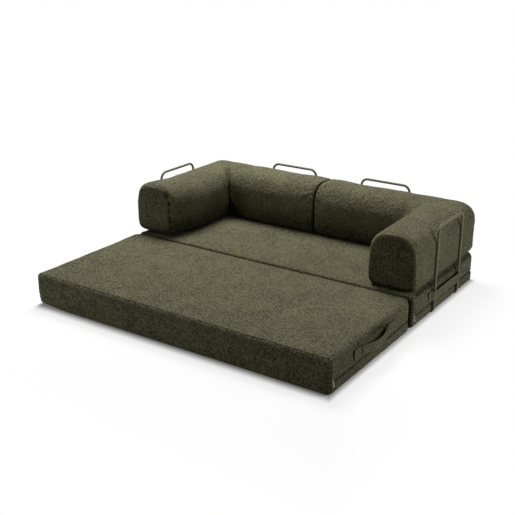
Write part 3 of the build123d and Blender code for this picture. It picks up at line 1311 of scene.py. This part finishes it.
    def held(self, flat: Points) -> np.ndarray:
        """How firmly each vertex stays while the cover swells.

        Args:
            flat: the block's vertices.

        Returns:
            A share for each vertex, 1 where it does not move.
        """
        _, _, end = self.lengths()
        seam = hill(np.minimum(flat[:, 1], end - flat[:, 1]), 0.003)
        on_base = np.where(flat[:, 2] < 0.004, 1.0, 0.0)
        return np.maximum(seam, on_base)

    def sewn(self, flat: Points, points: Points, normals: Points) -> Points:
        """Draws in the end seams and puckers the cloth beside them.

        Args:
            flat: the block's vertices.
            points: the swollen cover's vertices.
            normals: its vertex normals.

        Returns:
            The cover's vertices.
        """
        _, _, end = self.lengths()
        from_end = np.minimum(flat[:, 1], end - flat[:, 1])
        _, _, share = self.section(flat[:, 1], flat[:, 0], flat[:, 2])
        across = np.where(from_end < TOUCH, (share - 1) * self.width / 2, from_end)
        at_arm = np.where(flat[:, 1] < end / 2, 1.0, self.back_seam)
        pull = self.seam_depth * self.seam_share(flat) * at_arm
        puckers = ripple(points, self.pucker_size, 5.0)
        seam = -pull * hill(across + self.seam_inset, self.seam_width) * (0.8 + 0.5 * puckers)
        ridge = self.bead * hill(across - 0.003, 0.005) * at_arm
        crumple = self.crumple * pull * puckers * hill(across - 0.006, 0.014)
        move = seam + ridge + crumple
        return points + normals * move[:, None]

    def seam_share(self, flat: Points) -> np.ndarray:
        """How strongly the end seam shows: full on the inner side, less on the others."""
        inner_side = ease(1 - flat[:, 0] / 0.05)
        return self.seam_top + (1 - self.seam_top) * inner_side

    def painted_shading(self, flat: Points) -> np.ndarray:
        """Painted shade in the end seam, the corner's pocket, towards the seat, at the foot and on the end
        face, and a painted highlight beside the seam.

        Args:
            flat: the block's vertices.

        Returns:
            The painted shade of each vertex, less than 0 where a painted highlight lies beside the end seam.
        """
        _, _, share = self.section(flat[:, 1], flat[:, 0], flat[:, 2])
        up = flat[:, 2]
        on_cap = flat[:, 1] < TOUCH
        across = np.where(on_cap, (share - 1) * self.width / 2, flat[:, 1])
        broken = np.clip(0.6 + 0.7 * ripple(flat, 0.010, 11.0), 0, 1)
        seam = self.seam_shade * hill(across + self.seam_inset, 0.0045) * self.seam_share(flat) * broken
        facing_seat = (flat[:, 0] < 0.6 * self.width) & ~on_cap
        foot = np.where(
            facing_seat, self.seat_shade * ease(1 - up / 0.20), self.foot_shade * ease(1 - up / 0.085)
        )
        cap = np.where(on_cap, self.end_shade, 0.0)
        contact = np.where(on_cap, self.end_contact_shade, self.contact_shade) * ease(1 - up / 0.014)
        dark = highest(seam, foot, cap, contact, self.hollow(flat))
        return dark - self.rim_light * hill(across - 0.002, 0.0045) * ease(up / 0.10)

    def hollow(self, flat: Points) -> np.ndarray:
        """Painted shade in the pocket at the foot of the inner corner, wider on the back's side than on the
        arm's.

        Args:
            flat: the block's vertices.

        Returns:
            The painted shade of each vertex.
        """
        up = flat[:, 2]
        arm, corner, _ = self.lengths()
        on_back = flat[:, 1] > (arm + corner) / 2
        width, height = [np.where(on_back, b, a) for a, b in zip(self.arm_shade_pocket, self.back_shade_pocket)]
        spread = width * np.clip(1 - up / height, 0, 1) ** 1.6
        inside = ease((1.3 - self.from_corner(flat[:, 1]) / (0.011 + spread)) / 0.6)
        # The painted shade is weaker towards the top of the corner and full lower down.
        fade = self.crease_and_shade_top + (1 - self.crease_and_shade_top) * ease((0.31 - up) / 0.10)
        return inside * fade * ease(1 - flat[:, 0] / (0.5 * self.width))

    def shaped(self, points: Points) -> Points:
        """Broad softness of the bolster, and the slack that lets the arm's front lean out.

        Args:
            points: the cover's vertices.

        Returns:
            The cover's vertices.
        """
        moved = points.copy()
        free = ease((points[:, 2] - self.floor) / 0.05)
        broad = self.broad_rise * ripple(points, self.broad_size, 6.0)
        small = self.small_rise * ripple(points, self.small_size, 7.0)
        moved[:, 2] += (broad + small) * free
        moved[:, 0] += self.flare * ease(1 - points[:, 1] / self.flare_reach)
        return moved

    def pressed(self, points: Points) -> np.ndarray:
        """The share of the pile at each point: none where the bolster rests on the base."""
        return ease((points[:, 2] - self.floor) / 0.03)

    def build(self, wardrobe: Wardrobe) -> None:
        """Makes the padded bolster in place of its CAD nodes.

        Args:
            wardrobe: the finishes.
        """
        name = "bolster_" + self.side.name.lower()
        piece = self.sculpt(name + "_padded")
        if self.side is Side.LEFT:
            piece.data.transform(Matrix.Scale(-1, 4, (1, 0, 0)))
            face_outwards(piece)
        dress(piece, wardrobe.looped)
        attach(piece, name)
        nodes = ["cover", "arm_panel", "back_panel", "underside", "foam"]
        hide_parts(*[f"{name}_{n}" for n in nodes])

    def limit(self, piece: bpy.types.Object) -> None:
        """Keeps the bolster off the base and clear of the hoops.

        Args:
            piece: the bolster, as for the right side.
        """
        points = read_points(piece.data)
        points[:, 2] = np.maximum(points[:, 2], self.floor)
        hoops = ("hoop_right", 1, 0, self.arm_outer), ("hoop_back_right", 0, 1, self.back_outer)
        for hoop, along, across, face in hoops:
            low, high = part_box(hoop)
            near = (points[:, along] > low[along] - 0.05) & (points[:, along] < high[along] + 0.05)
            kept = np.minimum(points[:, across], face + self.hoop_room)
            points[:, across] = np.where(near, kept, points[:, across])
        write_points(piece.data, points)


# Straps, handles and the hinge


@dataclass(frozen=True)
class Wall:
    """A frame on one wall of a slab: along it, out of it and up."""

    origin: Vector
    along: Vector
    outward: Vector

    def place(self, along: float, outward: float, up: float) -> Vector:
        """A point in the sofa bed's axes."""
        return self.origin + self.along * along + self.outward * outward + Vector((0.0, 0.0, up))


def side_wall(side: Side, face: float, middle: float) -> Wall:
    """The frame on a slab's left or right wall."""
    sign = float(side.value)
    return Wall(Vector((sign * face, middle, 0.0)), Vector((0.0, 1.0, 0.0)), Vector((sign, 0.0, 0.0)))


@dataclass
class Band:
    """A flat sewn band on a wall, with thickness, soft edges, painted shade along its edges and a painted
    highlight just inside them.
    """

    name: str
    wall: Wall
    thickness: float = 0.0045
    rows: int = 18
    bulge: float = 0.0012
    rim: float = 0.0036
    lean: float = 0.0
    flat: float = 0.006
    # Painted shade along the edges, and a painted highlight just inside them.
    edge_shade: float = 0.7
    rim_light: float = 0.30

    def build(self, line: Sequence[CrossLine]) -> bpy.types.Object:
        """Makes the band.

        Args:
            line: each cross line's place along the wall, its stand-off, its lower and its upper height.

        Returns:
            The band.
        """
        shape = bmesh.new()
        bmesh.ops.create_grid(shape, x_segments=len(line) - 1, y_segments=self.rows, size=0.5)
        dark = shape.verts.layers.float.new(PAINTED_SHADE)
        last = len(line) - 1
        for vert in shape.verts:
            step = round((vert.co.x + 0.5) * last)
            share = vert.co.y + 0.5
            along, outward, low, high = line[step]
            edge = min(share, 1 - share) * (high - low)
            puff = self.bulge * math.sin(math.pi * share) + self.rim * float(hill(edge - 0.0045, 0.0032))
            lean = self.lean * (1 - share) * max(outward - self.flat, 0.0)
            vert.co = self.wall.place(along, outward + puff - lean, low + (high - low) * share)
            # Painted shade along each edge and a painted highlight just inside it; both ends get full painted
            # shade.
            pale = self.rim_light * float(hill(edge - 0.0060, 0.0028))
            shade = self.edge_shade * float(hill(edge, 0.0025)) - pale
            vert[dark] = self.edge_shade if step in (0, last) else shade
        bmesh.ops.recalc_face_normals(shape, faces=shape.faces)
        if sum(face.normal.dot(self.wall.outward) for face in shape.faces) < 0:
            bmesh.ops.reverse_faces(shape, faces=shape.faces)
        bmesh.ops.solidify(shape, geom=shape.faces[:], thickness=self.thickness)
        bmesh.ops.recalc_face_normals(shape, faces=shape.faces)
        piece = as_object(self.name, shape)
        refined(piece)
        return piece


@dataclass
class Stitches:
    """A row of thread stitches on a wall."""

    name: str
    wall: Wall
    length: float = 0.0042
    gap: float = 0.0026
    thread: float = 0.0009
    lift: float = 0.0004

    def build(self, runs: Sequence[Sequence[tuple[float, float, float]]]) -> bpy.types.Object:
        """Makes the stitches.

        Args:
            runs: lines of points, each with its place along the wall, its stand-off and its height.

        Returns:
            The stitches as one piece.
        """
        shape = bmesh.new()
        for run in runs:
            for first, last in zip(run, run[1:]):
                self.sew(shape, self.wall.place(*first), self.wall.place(*last))
        return as_object(self.name, shape)

    def sew(self, shape: bmesh.types.BMesh, first: Vector, last: Vector) -> None:
        """Adds the stitches between two points.

        Args:
            shape: the mesh that they join.
            first: where they start.
            last: where they end.
        """
        run = last - first
        count = max(1, int(run.length / (self.length + self.gap)))
        turn = run.normalized().to_track_quat("X", "Z").to_matrix().to_4x4()
        size = Matrix.Diagonal((self.length, self.thread, self.thread, 1.0))
        for index in range(count):
            middle = first + run * ((index + 0.5) / count) + self.wall.outward * self.lift
            made = bmesh.ops.create_cube(shape, size=1.0, matrix=Matrix.Translation(middle) @ turn @ size)
            edges = {edge for vert in made["verts"] for edge in vert.link_edges}
            bmesh.ops.bevel(
                shape,
                geom=list(edges),
                offset=self.thread * 0.3,
                segments=1,
                affect="EDGES",
                profile=0.5,
                material=-1,
            )


def boxed(start: float, end: float, low: float, high: float, outward: float, inset: float) -> list[tuple]:
    """A closed rectangle of stitch points inside a patch.

    Args:
        start: the patch's first end along the wall.
        end: its other end.
        low: its lower edge.
        high: its upper edge.
        outward: its face's stand-off.
        inset: the stitches' distance from its edges.

    Returns:
        The rectangle's points.
    """
    left, right = min(start, end) + inset, max(start, end) - inset
    corners = [(left, low + inset), (right, low + inset), (right, high - inset), (left, high - inset)]
    return [(u, outward, z) for u, z in [*corners, corners[0]]]


@dataclass
class HoopStrap:
    """A strap on the base over both legs of one hoop, sewn down at both ends."""

    which: str
    wall: Wall
    stand_off: float
    front_end: float = 0.063
    rear_end: float = 0.100
    low: float = 0.095
    high: float = 0.155
    slope: float = 0.030
    face: float = 0.0065
    over_leg: float = 0.0095
    sink: float = 0.003
    inset: float = 0.007
    count: int = 90

    def line(self, half: float) -> list[CrossLine]:
        """Cross lines of the strap from its front end to its rear end.

        Args:
            half: distance of each leg from the hoop's middle.

        Returns:
            The cross lines.
        """
        top = self.stand_off + self.over_leg
        start, end = -half - self.front_end, half + self.rear_end
        lines = []
        for index in range(self.count + 1):
            u = start + (end - start) * index / self.count
            beyond = abs(u) - half - 0.006
            climb = float(ease(1 - beyond / self.slope))
            sink = self.sink * float(hill(u, half * 0.6))
            lines.append((u, self.face + (top - self.face) * climb - sink, self.low, self.high))
        return lines

    def build(self, wardrobe: Wardrobe) -> None:
        """Makes the strap and its stitching in place of the CAD strap.

        Args:
            wardrobe: the finishes.
        """
        low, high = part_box("hoop_" + self.which)
        across = 1 if abs(self.wall.along.y) > 0.5 else 0
        half = (high[across] - low[across]) / 2 - TUBE_RADIUS
        strap = Band("webbing_" + self.which, self.wall).build(self.line(half))
        dress(strap, wardrobe.banded)
        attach(strap, "base")
        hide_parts("strap_" + self.which)
        foot = half + self.slope + 0.004
        front = boxed(-half - self.front_end, -foot, self.low, self.high, self.face, self.inset)
        rear = boxed(foot, half + self.rear_end, self.low, self.high, self.face, self.inset)
        thread = Stitches("webbing_stitches_" + self.which, self.wall).build([front, rear])
        dress(thread, wardrobe.thread)
        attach(thread, "base")
        LOG.info("strap %s spans %.3f m", self.which, 2 * half + self.front_end + self.rear_end)


@dataclass
class CarryHandle:
    """A side handle of the mattress: a slack band between two sewn ends."""

    side: Side
    bow: float = 0.026
    sag: float = 0.015
    skew: float = 1.15
    width: float = 0.060
    front_patch: float = 0.084
    rear_patch: float = 0.094
    stand: float = 0.0065
    patch_stand: float = 0.0055
    inset: float = 0.008
    count: int = 40
    patch_count: int = 12
    name: str = field(init=False)
    half: float = field(init=False)
    top: float = field(init=False)
    wall: Wall = field(init=False)

    def __post_init__(self) -> None:
        """Reads the loop's place from the frame."""
        self.name = self.side.name.lower()
        low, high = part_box("handle_loop_" + self.name)
        _, slab_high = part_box("mattress_bottom_cover")
        self.half = (high.y - low.y) / 2
        self.top = high.z
        self.wall = side_wall(self.side, slab_high.x, (low.y + high.y) / 2)

    def build(self, wardrobe: Wardrobe) -> None:
        """Makes the slack band, which stands for the CAD loop.

        Args:
            wardrobe: the finishes.
        """
        line = []
        for index in range(self.count + 1):
            share = index / self.count
            u = self.half * (2 * share - 1)
            arch = math.sin(math.pi * share**self.skew) ** 0.9
            drop = self.sag * math.sin(math.pi * share)
            line.append((u, self.stand + self.bow * arch, self.top - self.width - drop, self.top - drop))
        band = Band("carry_band_" + self.name, self.wall, thickness=0.004, bulge=0.0, lean=0.35).build(line)
        dress(band, wardrobe.banded)
        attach(band, "handle_" + self.name)
        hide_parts("handle_loop_" + self.name)
        LOG.info("%s bows out %.3f m", band.name, self.bow)

    def ends(self, wardrobe: Wardrobe) -> None:
        """Makes the two sewn ends with their stitching.

        Args:
            wardrobe: the finishes.
        """
        bottom = self.top - self.width
        near, seam_lift = self.half + 0.001, 0.0004
        runs = []
        spans = {"front": (-self.half - self.front_patch, -near), "rear": (near, self.half + self.rear_patch)}
        for end, (start, stop) in spans.items():
            places = [start + (stop - start) * i / self.patch_count for i in range(self.patch_count + 1)]
            name = f"handle_end_{self.name}_{end}"
            patch = Band(name, self.wall, thickness=0.005, bulge=0.0008, rim=0.0018).build(
                [(place, self.patch_stand, bottom, self.top) for place in places]
            )
            dress(patch, wardrobe.banded)
            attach(patch, "mattress")
            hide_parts("handle_patches")
            runs.append(boxed(start, stop, bottom, self.top, self.patch_stand + seam_lift, self.inset))
        thread = Stitches("handle_stitches_" + self.name, self.wall).build(runs)
        dress(thread, wardrobe.thread)
        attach(thread, "mattress")


@dataclass
class HingeWeb:
    """The cloth between the two slabs, which dips into the fold."""

    edge_height: float = 0.187
    dip: float = 0.006
    margin: float = 0.045
    overlap: float = 0.006
    wave: float = 0.0012
    waves: float = 18.0

    def build(self, wardrobe: Wardrobe) -> None:
        """Makes the cloth hinge in place of its two CAD tapes.

        Args:
            wardrobe: the finishes.
        """
        _, mattress_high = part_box("mattress_bottom_cover")
        base_low, base_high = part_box("base_bottom_cover")
        near, far = mattress_high.y - self.overlap, base_low.y + self.overlap
        half = base_high.x - self.margin
        shape = bmesh.new()
        bmesh.ops.create_grid(shape, x_segments=220, y_segments=10, size=0.5)
        for vert in shape.verts:
            share = vert.co.y + 0.5
            x = vert.co.x * 2 * half
            wave = self.wave * noise.noise(Vector((x * self.waves, 0.0, 4.0)))
            height = self.edge_height - self.dip * math.sin(math.pi * share) + wave
            vert.co = (x, near + (far - near) * share, height)
        bmesh.ops.solidify(shape, geom=shape.faces[:], thickness=0.002)
        bmesh.ops.recalc_face_normals(shape, faces=shape.faces)
        piece = as_object("hinge_web", shape)
        dress(piece, wardrobe.tape)
        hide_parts("mattress_hinge_tape", "base_hinge_tape")
        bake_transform(piece)
        LOG.info("%s is %.3f m long", piece.name, 2 * half)


def base_walls() -> dict[str, tuple[Wall, float]]:
    """Finds where each hoop stands on the base.

    Returns:
        For each hoop, its wall with the hoop's middle as its own, and the legs' stand-off.
    """
    _, base_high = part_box("base_bottom_cover")
    walls = {}
    for side in (Side.RIGHT, Side.LEFT):
        which = side.name.lower()
        low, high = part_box("hoop_" + which)
        leg = max(high.x, -low.x) - TUBE_RADIUS
        walls[which] = (side_wall(side, base_high.x, (low.y + high.y) / 2), leg - base_high.x)
    for which in ("back_right", "back_left"):
        low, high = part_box("hoop_" + which)
        origin = Vector(((low.x + high.x) / 2, base_high.y, 0.0))
        wall = Wall(origin, Vector((1.0, 0.0, 0.0)), Vector((0.0, 1.0, 0.0)))
        walls[which] = (wall, high.y - TUBE_RADIUS - base_high.y)
    return walls


# Floor, light and camera


@dataclass(frozen=True)
class Lamp:
    """A soft square lamp: where it stands, where it points, its width and its watts."""

    name: str
    place: tuple[float, float, float]
    target: tuple[float, float, float]
    size: float
    power: float

    def hang(self) -> None:
        """Adds the lamp to the scene."""
        data = bpy.data.lights.new(self.name, "AREA")
        data.shape = "SQUARE"
        data.size = self.size
        data.energy = self.power
        lamp = bpy.data.objects.new(self.name, data)
        bpy.context.scene.collection.objects.link(lamp)
        lamp.location = self.place
        direction = Vector(self.target) - Vector(self.place)
        lamp.rotation_euler = direction.to_track_quat("-Z", "Y").to_euler()


@dataclass
class Studio:
    """White floor, soft lights and the camera at the photograph's angle."""

    camera_place: tuple[float, float, float] = (2.961, -4.449, 2.244)
    camera_turn: tuple[float, float, float] = (69.32, 0.0, 34.06)
    lens: float = 62.8
    ambient: float = 0.077
    floor_size: float = 40.0
    shadow_room: tuple[float, float] = (1.04, 0.968)
    contact_reach: float = 0.055
    side_fade: float = 1.7
    shadow_reach: float = 0.9
    shadow_tail: float = 0.22
    shadow_lift: float = 0.10
    lamps: tuple[Lamp, ...] = (
        Lamp("key", (-1.5, 1.35, 3.9), (0.0, -0.1, 0.2), 1.9, 240.0),
        Lamp("right_side", (2.8, 0.35, 0.85), (0.9, 0.0, 0.15), 0.8, 20.0),
        Lamp("left_front", (-2.0, -3.7, 0.55), (-0.3, -0.9, 0.15), 1.0, 23.5),
    )

    def paper(self, recipe: Recipe) -> Socket:
        """White paper to the eye: it takes the sofa bed's shadow close by and is plain white further out.

        Args:
            recipe: the floor's material.

        Returns:
            The shader's socket.
        """
        white = (1.0, 1.0, 1.0, 1.0)
        matt = recipe.add("ShaderNodeBsdfDiffuse", {"Color": (0.97, 0.97, 0.97, 1.0)})
        plain = recipe.add("ShaderNodeEmission", {"Color": white})
        glow = recipe.add("ShaderNodeEmission", {"Color": white, "Strength": self.shadow_lift})
        lifted = recipe.add("ShaderNodeAddShader")
        recipe.link(matt.outputs["BSDF"], lifted.inputs[0])
        recipe.link(glow.outputs["Emission"], lifted.inputs[1])
        parts = recipe.add("ShaderNodeSeparateXYZ")
        recipe.link(recipe.place, parts.inputs["Vector"])
        sides = [
            recipe.math("SUBTRACT", recipe.math("ABSOLUTE", parts.outputs[axis], 0.0), room)
            for axis, room in enumerate(self.shadow_room)
        ]
        outside = recipe.math("MAXIMUM", recipe.math("MULTIPLY", sides[0], self.side_fade), sides[1])
        close = recipe.ramp(outside, ((0.0, 0.0), (self.contact_reach, 1.0 - self.shadow_tail)))
        tail = recipe.ramp(outside, ((self.contact_reach / 2, 0.0), (self.shadow_reach, self.shadow_tail)))
        seen = recipe.add("ShaderNodeMixShader")
        recipe.link(recipe.math("ADD", close, tail), seen.inputs["Fac"])
        recipe.link(lifted.outputs["Shader"], seen.inputs[1])
        recipe.link(plain.outputs["Emission"], seen.inputs[2])
        return seen.outputs["Shader"]

    def floor(self) -> None:
        """A broad floor, white to the eye and grey to the light that it throws back."""
        shape = bmesh.new()
        bmesh.ops.create_grid(shape, x_segments=1, y_segments=1, size=self.floor_size)
        piece = as_object("floor", shape, smooth=False)
        recipe = Recipe("studio_floor")
        grey = (0.25, 0.25, 0.25, 1.0)
        fill(recipe.shader, {"Base Color": grey, "Roughness": 1.0, "Specular IOR Level": 0.0})
        path = recipe.add("ShaderNodeLightPath")
        choice = recipe.add("ShaderNodeMixShader")
        either = recipe.math("MAXIMUM", path.outputs["Is Camera Ray"], path.outputs["Is Glossy Ray"])
        recipe.link(either, choice.inputs["Fac"])
        recipe.link(recipe.shader.outputs["BSDF"], choice.inputs[1])
        recipe.link(self.paper(recipe), choice.inputs[2])
        recipe.link(choice.outputs["Shader"], recipe.tree.nodes["Material Output"].inputs["Surface"])
        piece.data.materials.append(recipe.material)

    def sky(self) -> None:
        """A white backdrop to the eye and a dim even light to the object."""
        world = bpy.data.worlds.new("studio_sky")
        bpy.context.scene.world = world
        world.use_nodes = True
        tree = world.node_tree
        shown = tree.nodes["Background"]
        dim = tree.nodes.new("ShaderNodeBackground")
        path = tree.nodes.new("ShaderNodeLightPath")
        choice = tree.nodes.new("ShaderNodeMixShader")
        for light, strength in ((shown, 1.0), (dim, self.ambient)):
            fill(light, {"Color": (1.0, 1.0, 1.0, 1.0), "Strength": strength})
        tree.links.new(path.outputs["Is Camera Ray"], choice.inputs["Fac"])
        tree.links.new(dim.outputs["Background"], choice.inputs[1])
        tree.links.new(shown.outputs["Background"], choice.inputs[2])
        tree.links.new(choice.outputs["Shader"], tree.nodes["World Output"].inputs["Surface"])

    def camera(self) -> None:
        """The camera at the photograph's viewing angle."""
        data = bpy.data.cameras.new("camera")
        data.lens = self.lens
        data.sensor_width = 36.0
        camera = bpy.data.objects.new("camera", data)
        bpy.context.scene.collection.objects.link(camera)
        camera.location = self.camera_place
        camera.rotation_euler = [math.radians(a) for a in self.camera_turn]
        bpy.context.scene.camera = camera

    def build(self) -> None:
        """Sets the whole studio."""
        self.floor()
        self.sky()
        for lamp in self.lamps:
            lamp.hang()
        self.camera()
        bpy.context.scene.view_settings.view_transform = "Standard"


def dress_frame(frame: dict, wardrobe: Wardrobe) -> None:
    """Gives every CAD node that stays its material.

    Args:
        frame: the loaded frame.
        wardrobe: the finishes.
    """
    by_slot = {
        "cover_fabric": wardrobe.looped,
        "underside_fabric": wardrobe.backing,
        "comfort_foam": wardrobe.soft_foam,
        "support_foam": wardrobe.firm_foam,
        "zip_tape": wardrobe.tape,
        "zip_coil": wardrobe.coil,
        "zip_metal": wardrobe.metal,
        "hinge_tape": wardrobe.tape,
        "webbing": wardrobe.banded,
        "steel_tube": wardrobe.steel,
        "plug_plastic": wardrobe.plastic,
    }
    slots = {part["node"]: part["material_slot"] for part in frame["record"]["subparts"]}
    for name, node in frame["nodes"].items():
        dress(node, by_slot[slots[name]])
        node.data.polygons.foreach_set("use_smooth", [True] * len(node.data.polygons))


def main() -> None:
    """Builds the sofa bed's looks round its frame."""
    logging.basicConfig(level=logging.INFO, format="%(name)s: %(message)s")
    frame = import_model()
    wardrobe = Wardrobe()
    dress_frame(frame, wardrobe)
    Mattress(
        "mattress",
        "mattress",
        front_roll=0.028,
        rear_roll=0.012,
        left_roll=0.016,
        seam_offset=0.015,
        seam_depth=0.0060,
        rear_radius=0.042,
    ).build(wardrobe)
    Base(
        "base",
        "base",
        front_roll=0.014,
        rear_roll=0.040,
        seam_offset=0.007,
        seam_depth=0.002,
        front_radius=0.024,
        seam_shade=0.2,
    ).build(wardrobe)
    Bolster(
        Side.RIGHT, crease_and_shade_top=0.02, end_roll=0.026, seam_shade=0.25, rim_light=0.35, end_shade=0.14
    ).build(wardrobe)
    Bolster(
        Side.LEFT,
        flare=0.053,
        parting_shift=0.010,
        end_power=2.8,
        end_roll=0.036,
        seam_depth=0.014,
        seam_width=0.0060,
        seam_top=0.0,
        seam_inset=0.0,
        bead=0.0015,
    ).build(wardrobe)
    HingeWeb().build(wardrobe)
    for which, (wall, stand_off) in base_walls().items():
        HoopStrap(which, wall, stand_off).build(wardrobe)
    for side in Side:
        handle = CarryHandle(side)
        handle.build(wardrobe)
        handle.ends(wardrobe)
    Studio().build()


if __name__ == "__main__":
    main()
